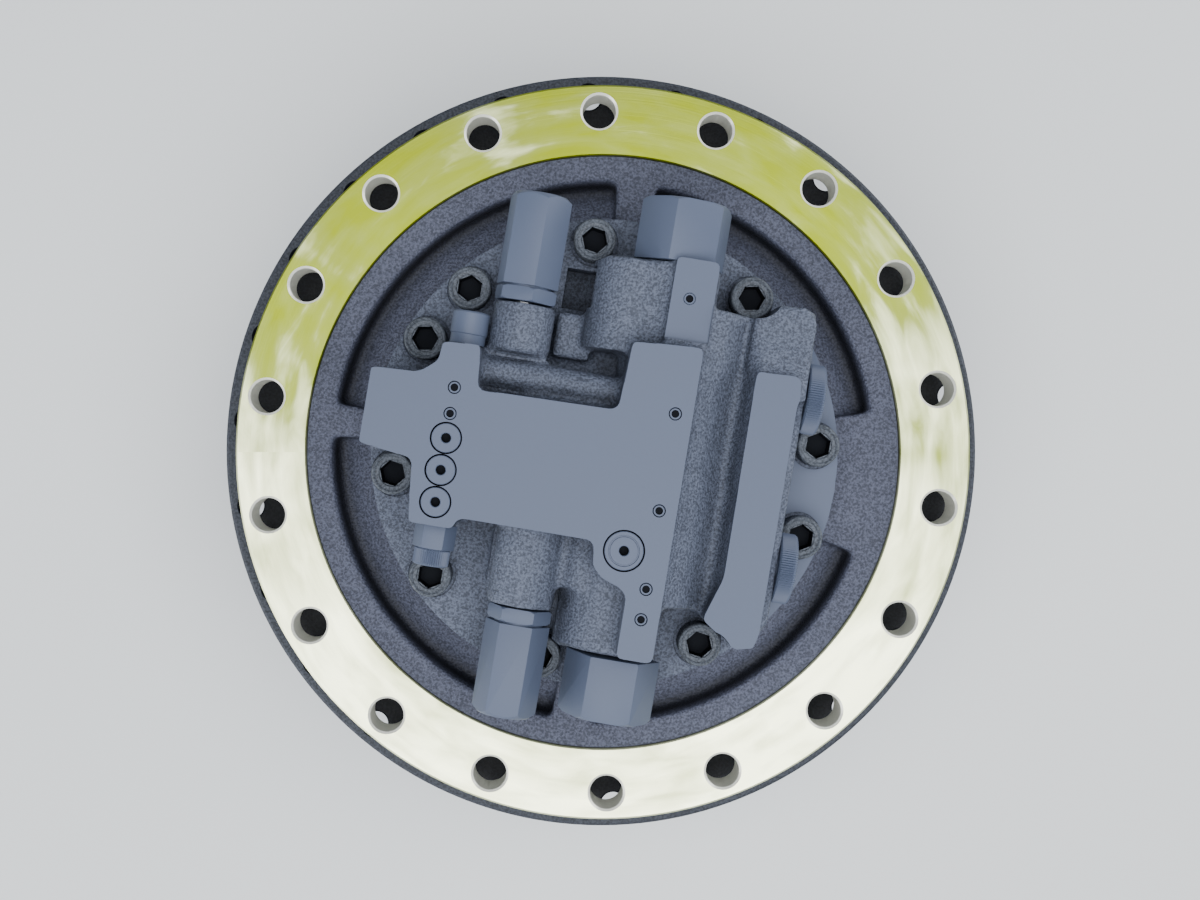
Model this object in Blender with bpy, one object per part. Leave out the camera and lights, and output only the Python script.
"""Excavator final drive: travel motor, two-stage planetary gearbox and rotating sprocket hub.

The drive stands on its flat end cover with its axis upright (+Z) and the motor side on top.
All sizes are millimetres; a mesh is turned to metres when it is made.
"""
import math

import bmesh
import bpy
from mathutils import Matrix, Vector

MM = 0.001

# Flat facets round a turned shape: castings, inner rings, small round pieces
BIG_SIDES = 32
MID_SIDES = 16
SMALL_SIDES = 6
PIN_SIDES = 10
HOLE_SIDES = 8
HEX_SIDES = 6
PAST = 1.0                     # cutters reach this far past a face
OVERLAP = 2.0                  # shapes joined into one casting reach into each other

# Driving dimensions, millimetres

# Gaps
FIT = 0.3                      # gap between seated pieces
SEAL_GAP = 3.0                 # running gap between the fixed skirt and the turning hub

# Gears
MODULE = 5.0
RING_TEETH = 62
FIRST_SUN_TEETH = 10
FIRST_PLANET_TEETH = 26
SECOND_SUN_TEETH = 16
SECOND_PLANET_TEETH = 23
PLANET_COUNT = 3
PRESSURE_ANGLE = math.radians(20)
TOOTH_THINNING = 0.5
FIRST_GEAR_WIDTH = 19.0
SECOND_GEAR_WIDTH = 40.0
ROOT_DEPTH = 1.3               # of the module
FIRST_PLANET_ADDENDUM = 0.9    # shortened so that it clears the small sun
FIRST_PIN_RADIUS = 16.0
SECOND_PIN_RADIUS = 20.0
FIRST_CARRIER_RIM = 10.0       # plate left outside the pins
SECOND_CARRIER_RIM = 24.0
WEB_RADIUS = 20.0              # posts between the plates of the second carrier
SUN_SHAFT_RADIUS = 13.0
SUN_SHAFT_OVERLAP = 20.0       # length of the sun's shaft inside the drive shaft
SECOND_SUN_BORE = 16.0
SECOND_SUN_NECK = 30.0
FIRST_PLANETS_START_ANGLE = math.radians(90)
SECOND_PLANETS_START_ANGLE = math.radians(30)

# Stack up the axis
COVER_THICKNESS = 30.0
COVER_RIM_THICKNESS = 14.0
FIRST_CARRIER_THICKNESS = 11.5
SECOND_CARRIER_LOWER = 9.0
SECOND_CARRIER_UPPER = 20.0
NUT_HEIGHT = 14.5
NUT_SLOT = 3.5                 # half width of the spanner slots
NUT_SLOT_COUNT = 4
BEARING_WIDTH = 33.0
BEARING_SHOULDER = 12.0
SEAL_RING_HEIGHT = 15.5
SEAL_FLOOR_RISE = 4.0          # from the upper bearing to the seal chamber
SKIRT_OVERLAP = 5.0            # skirt end above the plane where the seal rings meet
SKIRT_DROP = 35.0              # from the frame flange's underside to the end of the seal skirt
FRAME_FLANGE_THICKNESS = 28.0
SPROCKET_DROP = 47.0           # ring face down to the sprocket flange's face
SPROCKET_THICKNESS = 24.0
MOTOR_BOSS_RISE = 5.0          # motor boss above the ring face

# Walls and rims of the housing and the hub, from the motor and the gears outward
MOTOR_SPACE = 12.0             # round the cylinder block
BRAKE_WIDTH = 32.0             # from the cylinder block to the brake's bore
SPINDLE_WALL = 18.0            # between the motor's bore and the main bearings
BOSS_WALL = 38.0               # round the brake's bore
SPLINE_SPACE = 1.5             # between the spline seat and the second planets' pins
SPLINE_WALL = 18.0
ROLLER_SPACE = 17.5            # bearing bore to the middle of the rollers
BEARING_DEPTH = 35.0           # bearing bore to its outside
BEARING_LIP = 7.0              # shoulder inside the bearings' outside
SPINDLE_LIP = 12.0             # shoulder and nut outside the bearing bore
ROLLER_RADIUS = 6.2
ROLLER_LENGTH = 24.0
ROLLER_TILT_ANGLE = math.radians(12)
ROLLER_COUNT = 12
CAGE_WALL = 1.5
HUB_WALL = 26.75               # outside the ring gear's roots
HUB_FLARE = 12.0               # slope under the sprocket flange
COVER_PAD_DROP = 30.0          # cover pad inside the hub's radius
SEAL_WALL = 7.0                # hub wall round the seal chamber
SEAL_RING_WIDTH = 21.0
SEAL_BODY_SPACE = 4.0
TORIC_RADIUS = 4.4             # rubber ring behind each metal seal ring
TORIC_SIDES = 5
SEAL_LAND = 4.0                # width and step of the sealing lip
SKIRT_WALL = 15.0
FRAME_RIM = 44.0               # frame flange outside the skirt
SPROCKET_RIM = 60.5            # sprocket flange outside the skirt
COVER_PILOT = 2.0              # rear cover's edge inside the motor boss

# Frame bolt holes, sprocket holes and cover bolts
FRAME_HOLE_COUNT = 18
FRAME_HOLE_EDGE = 17.5         # hole circle inside the rim
FRAME_HOLE_RADIUS = 11.0
FRAME_HOLE_START_ANGLE = math.radians(10.6)
SPROCKET_HOLE_COUNT = 26
SPROCKET_HOLE_EDGE = 14.5
SPROCKET_HOLE_RADIUS = 8.5
SPROCKET_HOLE_START_ANGLE = math.radians(8.9)
COVER_BOLT_COUNT = 12
COVER_BOLT_EDGE = 13.0
COVER_BOLT_RADIUS = 6.0
COVER_BOLT_DEPTH = 30.0
COVER_BOLT_HEAD_HEIGHT = 10.0
COVER_BOLT_HEAD_RADIUS = 10.4
OIL_PLUG_PLACES = ((0.0, 118.0), (0.0, -118.0))
OIL_PLUG_THREAD = 11.0
OIL_PLUG_HEAD = 15.0
OIL_PLUG_HEAD_HEIGHT = 7.0

# Kidney pockets of the housing: start and end angle of each
POCKET_DEPTH = 39.0
POCKET_WIDTH = 24.0
POCKET_EASE = 1.5              # pockets reach this far into the motor boss
ANNULUS_WIDTH = 20.0           # from the pockets to the machined face
POCKET_STEPS = 8
ANNULUS_DROP = 3.0
POCKETS = ((8.5, 78.5), (87.0, 169.6), (176.7, 259.0), (267.2, 338.0))

# Motor
SHAFT_RADIUS = 20.0
SHAFT_END_RADIUS = 15.0
SHAFT_SPACE = 6.0              # round the shaft in the plates it passes through
SHAFT_TAIL = 18.9             # drive shaft below the motor's floor, where the first sun plugs in
PISTON_COUNT = 9
PISTON_RADIUS = 11.7
PISTON_CIRCLE = 52.0
BLOCK_WALL = 16.3              # outside the pistons
BLOCK_LENGTH = 76.0
VALVE_PLATE_THICKNESS = 7.4
VALVE_PLATE_EDGE = 4.0         # inside the cylinder block
KIDNEY_WIDTH = 12.0            # ports of the valve plate
KIDNEY_END_ANGLE = math.radians(15)
SWASH_THICKNESS = 14.0
SWASH_RIM = 6.0                # outside the cylinder block
SHOE_RADIUS = 15.0
SHOE_PLATE = 4.0
SOCKET_RADIUS = 7.0
PISTON_NECK = 11.0             # from the ball end up to the full piston
PISTON_REACH = 17.5            # shoes to the cylinder block
BRAKE_START = 12.0             # brake floor above the cylinder block's end
MOTOR_FLOOR_THICKNESS = 30.0
SHAFT_BEARING_RADIUS = 36.0
SHAFT_BEARING_HEIGHT = 14.0
SHAFT_SEAL_HEIGHT = 9.0
TOP_BEARING_RADIUS = 30.0
TOP_BEARING_HEIGHT = 18.0
BRAKE_DISC_THICKNESS = 4.0
BRAKE_PISTON_HEIGHT = 44.0
BRAKE_SPRING_SHEET = 4.0

# Valve block on the rear cover, in its own frame: u right, v up, h above the ring face
BLOCK_TURN_ANGLE = math.radians(-9.5)
FLANGE_TOP = 30.0
BLOCK_TOP = 105.0
BEARING_POCKET_SPACE = 4.0     # above the shaft bearing
CASTING_STEP = 0.7             # each casting starts at its own height inside the flange
BOSS_SIDES = 12
SCREW_EDGE = 15.0              # screw circle inside the cover's edge
SCREW_ANGLES = (2.0, 46.5, 92.7, 129.3, 147.4, 185.4, 215.0, 252.0, 296.2, 336.7)
SCREW_RADIUS = 9.0
SCREW_HEAD_RADIUS = 13.5
SCREW_HEAD_HEIGHT = 18.0
SCREW_DEPTH = 24.0
SCREW_HEAD_SPACE = 1.5
CB_AXIS = (25.0, 60.0)         # counterbalance bore: u and h of its axis
CB_SPOOL_RADIUS = 13.0
CB_SPRING_BORE = 17.0
CB_SPOOL_NECK = 8.5
CB_MIDDLE_LAND = 12.0
CB_GROOVE = 20.0
CB_NOSE_RADIUS = 7.0
CB_NOSE_END = 80.0
CB_PLUG_FLATS = 50.0
CB_SHOULDER = 62.0             # shoulder of the spool that the spring pushes on
CB_SPRING_RADIUS = 11.0
CB_SPRING_WIRE = 3.0
SPRING_STEPS = 6               # flat steps in one turn of a spring
CB_BODY_TOP = 121.0            # where the upper plug seats
CB_BODY_LOW = -121.0
CB_PLUG_LENGTH = 38.0
PLUG_CONE = 3.0                # coned outer end of the hexagon plugs
RELIEF_UPPER_U = -64.0
RELIEF_LOWER_U = -36.0
RELIEF_H = 70.0
RELIEF_BORE = 11.0
RELIEF_BOSS_RADIUS = 19.0
RELIEF_FLATS = 34.0
RELIEF_UPPER_SEAT = 82.0
RELIEF_LOWER_SEAT = -100.0
RELIEF_CAP_LENGTH = 66.0
RELIEF_NUT = 8.0               # thickness of the lock nut
RELIEF_NECK = 10.0             # where the hexagon body starts
RELIEF_NECK_RADIUS = 15.0
RELIEF_HOLLOW = 8.0
RELIEF_HOLLOW_DEPTH = 44.0
RELIEF_BORE_DEPTH = 42.0
RELIEF_TRAVEL = 3.0
RELIEF_SPRING_RADIUS = 6.0
RELIEF_SPRING_WIRE = 2.0
POPPET_RADIUS = 7.5
POPPET_STEM = 9.0
POPPET_STEM_RADIUS = 5.0
POPPET_HEAD = 4.0              # poppet end above the casting, where its spring pushes
TS_AXIS = (-94.0, 76.0)        # two-speed spool bore
TS_SPOOL_RADIUS = 6.0
TS_PLUG_RADIUS = 11.2
TS_PLUG_LENGTH = 20.0
TS_PLUG_FLATS = 22.0
TS_HEX_LENGTH = 15.0
TS_GROOVE = 16.0
TS_NECK_RADIUS = 4.0
TS_SPRING_RADIUS = 4.4
TS_SPRING_WIRE = 1.5
TS_UPPER_SEAT = 51.0
TS_LOWER_SEAT = -58.0
TS_SPRING_LENGTH = 30.0
PORT_V = (53.0, -51.0)
PORT_H = 68.5
PORT_FACE_U = 112.0
PORT_CAP_RADIUS = 20.0
PORT_CAP_THICKNESS = 12.0
PORT_BORE_RADIUS = 12.0
PORT_BORE_DEPTH = 32.0
PORT_CAP_STEM = 10.0
FACE_PLUGS = ((-95.0, -6.0, 8.6), (-95.0, -25.0, 8.6), (-95.0, -44.0, 8.6), (18.6, -54.0, 11.5))
FACE_PLUG_DEPTH = 12.0
PIN_PLUGS = ((-95.0, 24.0), (-95.0, 8.5), (35.0, 30.0), (35.0, -27.5), (35.0, -74.0), (35.0, -92.0))
PIN_PLUG_RADIUS = 3.2
PIN_PLUG_RECESS = 1.0

# Castings of the valve block: left and right u, low and high v, and height of the top
BRIDGE = (-83.5, 26.0, -51.0, 26.0, BLOCK_TOP)
SPOOL_COLUMN = (23.0, 46.0, -117.0, 70.0, BLOCK_TOP)
TWO_SPEED_COLUMN = (-109.0, -81.5, TS_LOWER_SEAT, TS_UPPER_SEAT, BLOCK_TOP)
LEFT_WING = (-145.0, -106.0, -17.0, 29.0, BLOCK_TOP)
UPPER_ARM = (3.5, 46.0, 20.0, 70.5, BLOCK_TOP)
PLUG_SHOULDER = (-2.0, 28.0, -77.0, -45.0, BLOCK_TOP)
UPPER_SEAT_FLAT = (22.0, 47.0, 66.0, CB_BODY_TOP, 92.0)
UPPER_CHEEK = (-19.0, 30.0, 20.0, CB_BODY_TOP, 62.0)
LOWER_CHEEK = (-14.0, 42.0, CB_BODY_LOW, -60.0, 60.0)
UPPER_RELIEF_FOOT = (-78.0, 6.0, 24.0, 66.0, 50.0)
LOWER_RELIEF_FOOT = (-58.0, 24.0, -96.0, -46.0, 46.0)
SQUARE_NUB = (-43.0, -20.0, 54.0, 82.0, 82.0)
PORT_BODY = (66.0, PORT_FACE_U, -101.0, 106.0, 95.0)
CORNER = 5.0                   # cut corners of the castings
PLUG_CORNER = 12.0
PORT_CORNER = 18.0
PORT_SLOPE_V = 64.0            # the port body slopes down from here
PORT_SLOPE_DROP = 15.0
SADDLE_TOP = 84.0
UPPER_BOSS = (26.0, 0.0, 60.0)     # radius, u and h of the castings' round bosses
LOWER_BOSS = (31.0, 18.0, 55.0)
LOWER_WAIST = (16.0, -1.0, 66.0)
LOWER_BOSS_V = (-119.0, -70.0)
LOWER_WAIST_V = (-84.0, -46.0)
GALLERY_RADIUS = 15.0          # cast pipe along the bridge's upper edge
GALLERY_V = 33.0
GALLERY_H = 72.0

# Radii, worked out from the axis outward
RING_PITCH = MODULE * RING_TEETH / 2
RING_TIP = RING_PITCH - MODULE
RING_ROOT = RING_PITCH + 1.25 * MODULE
FIRST_CENTRE = MODULE * (FIRST_SUN_TEETH + FIRST_PLANET_TEETH) / 2
SECOND_CENTRE = MODULE * (SECOND_SUN_TEETH + SECOND_PLANET_TEETH) / 2
BLOCK_RADIUS = PISTON_CIRCLE + PISTON_RADIUS + BLOCK_WALL
VALVE_PLATE_RADIUS = BLOCK_RADIUS - VALVE_PLATE_EDGE
SWASH_RADIUS = BLOCK_RADIUS + SWASH_RIM
MOTOR_BORE = BLOCK_RADIUS + MOTOR_SPACE
BRAKE_BORE = BLOCK_RADIUS + BRAKE_WIDTH
BEARING_BORE = MOTOR_BORE + SPINDLE_WALL
BEARING_RADIUS = BEARING_BORE + BEARING_DEPTH
BEARING_SHOULDER_RADIUS = BEARING_RADIUS - BEARING_LIP
ROLLER_PITCH = BEARING_BORE + ROLLER_SPACE
SPINDLE_SHOULDER_RADIUS = BEARING_BORE + SPINDLE_LIP
SPLINE_SEAT_RADIUS = SECOND_CENTRE - SECOND_PIN_RADIUS - SPLINE_SPACE
SPINDLE_BORE = SPLINE_SEAT_RADIUS - SPLINE_WALL
HUB_RADIUS = RING_ROOT + HUB_WALL
COVER_PAD_RADIUS = HUB_RADIUS - COVER_PAD_DROP
COVER_BOLT_CIRCLE = HUB_RADIUS - COVER_BOLT_EDGE
SEAL_SEAT_RADIUS = HUB_RADIUS - SEAL_WALL
SEAL_INNER_RADIUS = SEAL_SEAT_RADIUS - SEAL_RING_WIDTH
SEAL_BODY_RADIUS = SEAL_INNER_RADIUS - SEAL_BODY_SPACE
SKIRT_RADIUS = SEAL_SEAT_RADIUS + SKIRT_WALL
FRAME_FLANGE_RADIUS = SKIRT_RADIUS + FRAME_RIM
FRAME_HOLE_CIRCLE = FRAME_FLANGE_RADIUS - FRAME_HOLE_EDGE
SPROCKET_RADIUS = SKIRT_RADIUS + SPROCKET_RIM
SPROCKET_HOLE_CIRCLE = SPROCKET_RADIUS - SPROCKET_HOLE_EDGE
MOTOR_BOSS_RADIUS = BRAKE_BORE + BOSS_WALL
POCKET_INNER_RADIUS = MOTOR_BOSS_RADIUS - POCKET_EASE
POCKET_OUTER_RADIUS = MOTOR_BOSS_RADIUS + POCKET_WIDTH
FRAME_FACE_INNER_RADIUS = POCKET_OUTER_RADIUS + ANNULUS_WIDTH
FLANGE_RADIUS = MOTOR_BOSS_RADIUS - COVER_PILOT
SCREW_CIRCLE = FLANGE_RADIUS - SCREW_EDGE

# Stations up the axis, worked out from the stack
COVER_RIM_Z = COVER_THICKNESS - COVER_RIM_THICKNESS
HUB_BOTTOM = COVER_THICKNESS + FIT
FIRST_PLANET_Z = COVER_THICKNESS + 2 * FIT
FIRST_PLANET_TOP = FIRST_PLANET_Z + FIRST_GEAR_WIDTH
FIRST_CARRIER_Z = FIRST_PLANET_TOP + 2 * FIT
FIRST_CARRIER_TOP = FIRST_CARRIER_Z + FIRST_CARRIER_THICKNESS
SECOND_LOWER_Z = FIRST_CARRIER_TOP + 3 * FIT
SECOND_PLANET_Z = SECOND_LOWER_Z + SECOND_CARRIER_LOWER + 2 * FIT
SECOND_PLANET_TOP = SECOND_PLANET_Z + SECOND_GEAR_WIDTH
SECOND_UPPER_Z = SECOND_PLANET_TOP + 2 * FIT
SECOND_UPPER_TOP = SECOND_UPPER_Z + SECOND_CARRIER_UPPER
SPINDLE_END = SECOND_UPPER_Z + FIT
NUT_Z = SECOND_UPPER_TOP + 2 * FIT
LOWER_BEARING_Z = NUT_Z + NUT_HEIGHT + FIT
LOWER_BEARING_TOP = LOWER_BEARING_Z + BEARING_WIDTH
UPPER_BEARING_Z = LOWER_BEARING_TOP + BEARING_SHOULDER
UPPER_BEARING_TOP = UPPER_BEARING_Z + BEARING_WIDTH
SEAL_FLOOR_Z = UPPER_BEARING_TOP + SEAL_FLOOR_RISE
SEAL_PLANE_Z = SEAL_FLOOR_Z + SEAL_RING_HEIGHT + FIT
SEAL_CEILING_Z = SEAL_PLANE_Z + SEAL_RING_HEIGHT + FIT
SKIRT_END_Z = SEAL_PLANE_Z + SKIRT_OVERLAP
FLANGE_UNDER_Z = SKIRT_END_Z + SKIRT_DROP
RING_FACE_Z = FLANGE_UNDER_Z + FRAME_FLANGE_THICKNESS
SPROCKET_Z = RING_FACE_Z - SPROCKET_DROP
GEAR_CAVITY_TOP = SECOND_UPPER_TOP + 2.0
BOSS_TOP_Z = RING_FACE_Z + MOTOR_BOSS_RISE - FIT
BLOCK_TOP_Z = RING_FACE_Z + MOTOR_BOSS_RISE - FIT - VALVE_PLATE_THICKNESS - FIT
BLOCK_LOW_Z = BLOCK_TOP_Z - BLOCK_LENGTH
MOTOR_FLOOR_TOP_Z = BLOCK_LOW_Z - PISTON_REACH - SHOE_PLATE - SWASH_THICKNESS - 2 * FIT
MOTOR_FLOOR_LOW_Z = MOTOR_FLOOR_TOP_Z - MOTOR_FLOOR_THICKNESS
SHAFT_LOW_Z = MOTOR_FLOOR_LOW_Z - SHAFT_TAIL



# Mesh helpers

def clear_scene():
    for obj in list(bpy.data.objects):
        bpy.data.objects.remove(obj, do_unlink=True)


def material(name, colour, roughness, metallic):
    """A plain Principled material; a second call with the same name gives the same material."""
    found = bpy.data.materials.get(name)
    if found:
        return found
    made = bpy.data.materials.new(name)
    made.use_nodes = True
    shader = made.node_tree.nodes["Principled BSDF"]
    shader.inputs["Base Color"].default_value = (*colour, 1.0)
    shader.inputs["Roughness"].default_value = roughness
    shader.inputs["Metallic"].default_value = metallic
    made.diffuse_color = (*colour, 1.0)
    return made


def grey_paint():
    return material("grey_paint", (0.215, 0.250, 0.320), 0.45, 0.0)


def machined_steel():
    return material("machined_steel", (0.62, 0.62, 0.60), 0.30, 1.0)


def gear_steel():
    return material("gear_steel", (0.45, 0.46, 0.48), 0.28, 1.0)


def spring_steel():
    return material("spring_steel", (0.18, 0.18, 0.20), 0.40, 1.0)


def bearing_steel():
    return material("bearing_steel", (0.70, 0.71, 0.73), 0.20, 1.0)


def bronze():
    return material("bronze", (0.60, 0.38, 0.16), 0.35, 1.0)


def black_rubber():
    return material("black_rubber", (0.02, 0.02, 0.02), 0.75, 0.0)


def raw_casting():
    return material("raw_casting", (0.20, 0.20, 0.21), 0.60, 0.8)


def finish(name, bm, mat):
    """Turn a bmesh in millimetres into a named object in metres, faces outward."""
    bmesh.ops.remove_doubles(bm, verts=bm.verts, dist=1e-4)
    bmesh.ops.recalc_face_normals(bm, faces=bm.faces)
    bmesh.ops.scale(bm, vec=(MM, MM, MM), verts=bm.verts)
    mesh = bpy.data.meshes.new(name)
    bm.to_mesh(mesh)
    bm.free()
    mesh.materials.append(mat)
    obj = bpy.data.objects.new(name, mesh)
    bpy.context.collection.objects.link(obj)
    return obj


def smooth(obj, degrees=35):
    obj.data.shade_smooth()
    obj.data.set_sharp_from_angle(angle=math.radians(degrees))
    return obj


def bore(radius, sides):
    """Corner radius of a faceted hole whose flats keep clear of the true radius."""
    return radius / math.cos(math.pi / sides)


def spun(bm, profile, steps, matrix=None):
    """Spin a closed (radius, height) profile round the Z axis into the bmesh."""
    verts = [bm.verts.new((r, 0.0, z)) for r, z in profile]
    edges = []
    for start, end in zip(verts, verts[1:] + verts[:1]):
        on_axis = abs(start.co.x) < 1e-6 and abs(end.co.x) < 1e-6
        if not on_axis:
            edges.append(bm.edges.new((start, end)))
    made = bmesh.ops.spin(bm, geom=verts + edges, cent=(0, 0, 0), axis=(0, 0, 1),
                          angle=2 * math.pi, steps=steps, use_merge=True)
    new_verts = {v for v in made["geom_last"] if isinstance(v, bmesh.types.BMVert)}
    island = set(verts) | new_verts
    grown = list(island)
    while grown:
        vert = grown.pop()
        for edge in vert.link_edges:
            other = edge.other_vert(vert)
            if other not in island:
                island.add(other)
                grown.append(other)
    bmesh.ops.remove_doubles(bm, verts=list(island), dist=1e-4)
    if matrix:
        live = [v for v in island if v.is_valid]
        bmesh.ops.transform(bm, matrix=matrix, verts=live)


def lathe(name, profile, steps, mat):
    bm = bmesh.new()
    spun(bm, profile, steps)
    return smooth(finish(name, bm, mat))


def extruded(bm, outline, low, high):
    """Extrude an outline of (x, y) points from one height to another."""
    verts = [bm.verts.new((x, y, low)) for x, y in outline]
    face = bm.faces.new(verts)
    made = bmesh.ops.extrude_face_region(bm, geom=[face])
    moved = [v for v in made["geom"] if isinstance(v, bmesh.types.BMVert)]
    bmesh.ops.translate(bm, vec=(0, 0, high - low), verts=moved)


def prism(name, outline, low, high, mat):
    bm = bmesh.new()
    extruded(bm, outline, low, high)
    return finish(name, bm, mat)


def rod(bm, radius, low, high, sides, matrix=None, top_radius=None):
    """Add a cylinder, cone or prism between two heights, then place it with a matrix."""
    place = (matrix or Matrix.Identity(4)) @ Matrix.Translation((0, 0, (low + high) / 2))
    end = radius if top_radius is None else top_radius
    bmesh.ops.create_cone(bm, cap_ends=True, cap_tris=False, segments=sides,
                          radius1=radius, radius2=end, depth=high - low, matrix=place)


def polar(radius, angle):
    return (radius * math.cos(angle), radius * math.sin(angle))


def circle_matrices(count, radius, start=0.0):
    """Places round a circle, each turned to face outward."""
    places = []
    for index in range(count):
        angle = start + 2 * math.pi * index / count
        x, y = polar(radius, angle)
        places.append(Matrix.Translation((x, y, 0)) @ Matrix.Rotation(angle, 4, "Z"))
    return places


def boolean(target, tool, operation="DIFFERENCE"):
    """Cut or join one object with another, and keep only the result."""
    step = target.modifiers.new("step", "BOOLEAN")
    step.operation = operation
    step.solver = "EXACT"
    step.object = tool
    bpy.context.view_layer.update()
    evaluated = target.evaluated_get(bpy.context.evaluated_depsgraph_get())
    result = bpy.data.meshes.new_from_object(evaluated)
    target.modifiers.clear()
    target.data = result
    bpy.data.objects.remove(tool, do_unlink=True)
    return target


def cut_rods(target, rods):
    """Cut one group of separate rods: (radius, low, high, sides, matrix) each."""
    bm = bmesh.new()
    for radius, low, high, sides, matrix in rods:
        rod(bm, bore(radius, sides), low, high, sides, matrix)
    return boolean(target, finish("cutter", bm, target.data.materials[0]))


def empty(name, location=(0, 0, 0), turn=0.0, parent=None):
    made = bpy.data.objects.new(name, None)
    bpy.context.collection.objects.link(made)
    made.location = Vector(location) * MM
    made.rotation_euler = (0, 0, turn)
    made.parent = parent
    return made


def place(obj, parent, location=(0, 0, 0), turn=0.0):
    obj.parent = parent
    obj.location = Vector(location) * MM
    obj.rotation_euler = (0, 0, turn)
    return obj


def along_v(u, h):
    """Matrix that lays a Z-axis shape along the block's v direction, through (u, h)."""
    return Matrix.Translation((u, 0, h)) @ Matrix.Rotation(math.radians(-90), 4, "X")


def along_u(v, h):
    return Matrix.Translation((0, v, h)) @ Matrix.Rotation(math.radians(90), 4, "Y")


# Gears

def involute(angle):
    return math.tan(angle) - angle


def tooth_half_angle(teeth, radius, thinning):
    """Half of a tooth's angle at a radius, on a true involute flank."""
    pitch = MODULE * teeth / 2
    base = pitch * math.cos(PRESSURE_ANGLE)
    at_pitch = (math.pi * MODULE / 2 - thinning) / (2 * pitch)
    here = involute(math.acos(base / radius)) if radius > base else 0.0
    return at_pitch + involute(PRESSURE_ANGLE) - here


def gear_outline(teeth, inner, outer, thinning, first_tooth):
    points = []
    for index in range(teeth):
        centre = first_tooth + 2 * math.pi * index / teeth
        low = tooth_half_angle(teeth, inner, thinning)
        high = tooth_half_angle(teeth, outer, thinning)
        points.append(polar(inner, centre - low))
        points.append(polar(outer, centre - high))
        points.append(polar(outer, centre + high))
        points.append(polar(inner, centre + low))
    return points


def external_gear(name, teeth, low, high, hole, first_tooth, mat, addendum=1.0):
    pitch = MODULE * teeth / 2
    outline = gear_outline(teeth, pitch - ROOT_DEPTH * MODULE, pitch + addendum * MODULE,
                           TOOTH_THINNING, first_tooth)
    gear = prism(name, outline, low, high, mat)
    if hole:
        cut_rods(gear, [(hole, low - PAST, high + PAST, PIN_SIDES, None)])
    return gear


def planet_angles(start):
    return [start + 2 * math.pi * index / PLANET_COUNT for index in range(PLANET_COUNT)]


def planet_turn(angle, teeth):
    """Angle of a planet's first tooth, in mesh with a ring tooth centred at angle zero."""
    return angle - (RING_TEETH * angle + math.pi) / teeth


def sun_turn(angle, sun_teeth, planet_teeth):
    return angle + (planet_teeth * math.pi + RING_TEETH * angle) / sun_teeth


# Fixed housing

def housing_profile():
    brake_floor = brake_floor_height()
    seat = bore(SEAL_SEAT_RADIUS, BIG_SIDES)
    brake_bore = bore(BRAKE_BORE, BIG_SIDES)
    bearing_seat = bore(SHAFT_BEARING_RADIUS + FIT, BIG_SIDES)
    return [
        (brake_bore, BOSS_TOP_Z), (MOTOR_BOSS_RADIUS, BOSS_TOP_Z),
        (MOTOR_BOSS_RADIUS, RING_FACE_Z - ANNULUS_DROP),
        (FRAME_FACE_INNER_RADIUS, RING_FACE_Z - ANNULUS_DROP),
        (FRAME_FACE_INNER_RADIUS, RING_FACE_Z), (FRAME_FLANGE_RADIUS, RING_FACE_Z),
        (FRAME_FLANGE_RADIUS, FLANGE_UNDER_Z), (SKIRT_RADIUS, FLANGE_UNDER_Z),
        (SKIRT_RADIUS, SKIRT_END_Z), (seat, SKIRT_END_Z),
        (seat, SEAL_CEILING_Z), (SEAL_BODY_RADIUS, SEAL_CEILING_Z),
        (SEAL_BODY_RADIUS, SEAL_FLOOR_Z + SEAL_GAP), (SPINDLE_SHOULDER_RADIUS, SEAL_FLOOR_Z + SEAL_GAP),
        (SPINDLE_SHOULDER_RADIUS, UPPER_BEARING_TOP + FIT), (BEARING_BORE - FIT, UPPER_BEARING_TOP + FIT),
        (BEARING_BORE - FIT, NUT_Z), (SPLINE_SEAT_RADIUS, NUT_Z),
        (SPLINE_SEAT_RADIUS, SPINDLE_END), (SPINDLE_BORE, SPINDLE_END),
        (SPINDLE_BORE, MOTOR_FLOOR_LOW_Z), (bearing_seat, MOTOR_FLOOR_LOW_Z),
        (bearing_seat, MOTOR_FLOOR_TOP_Z), (MOTOR_BORE, MOTOR_FLOOR_TOP_Z),
        (MOTOR_BORE, brake_floor), (brake_bore, brake_floor),
    ]


def brake_floor_height():
    return BLOCK_LOW_Z + BRAKE_START


def pocket_cutter():
    """Four kidney-shaped sectors between the motor boss and the pocket wall."""
    bm = bmesh.new()
    low = RING_FACE_Z - ANNULUS_DROP - POCKET_DEPTH
    high = RING_FACE_Z + 1
    for start, end in POCKETS:
        angles = [math.radians(start + (end - start) * i / POCKET_STEPS) for i in range(POCKET_STEPS + 1)]
        outer = [polar(POCKET_OUTER_RADIUS, a) for a in angles]
        inner = [polar(POCKET_INNER_RADIUS, a) for a in reversed(angles)]
        extruded(bm, outer + inner, low, high)
    return finish("cutter", bm, grey_paint())


def motor_housing(root):
    body = lathe("motor_housing", housing_profile(), BIG_SIDES, grey_paint())
    boolean(body, pocket_cutter())
    holes = []
    for spot in circle_matrices(FRAME_HOLE_COUNT, FRAME_HOLE_CIRCLE, FRAME_HOLE_START_ANGLE):
        holes.append((FRAME_HOLE_RADIUS, FLANGE_UNDER_Z - PAST, RING_FACE_Z + PAST, HOLE_SIDES, spot))
    for angle in SCREW_ANGLES:
        x, y = polar(SCREW_CIRCLE, math.radians(angle))
        spot = Matrix.Translation((x, y, 0))
        holes.append((SCREW_RADIUS + FIT, RING_FACE_Z - SCREW_DEPTH - OVERLAP, BOSS_TOP_Z + PAST,
                      SMALL_SIDES, spot))
    cut_rods(body, holes)
    return place(smooth(body), root)


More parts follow.
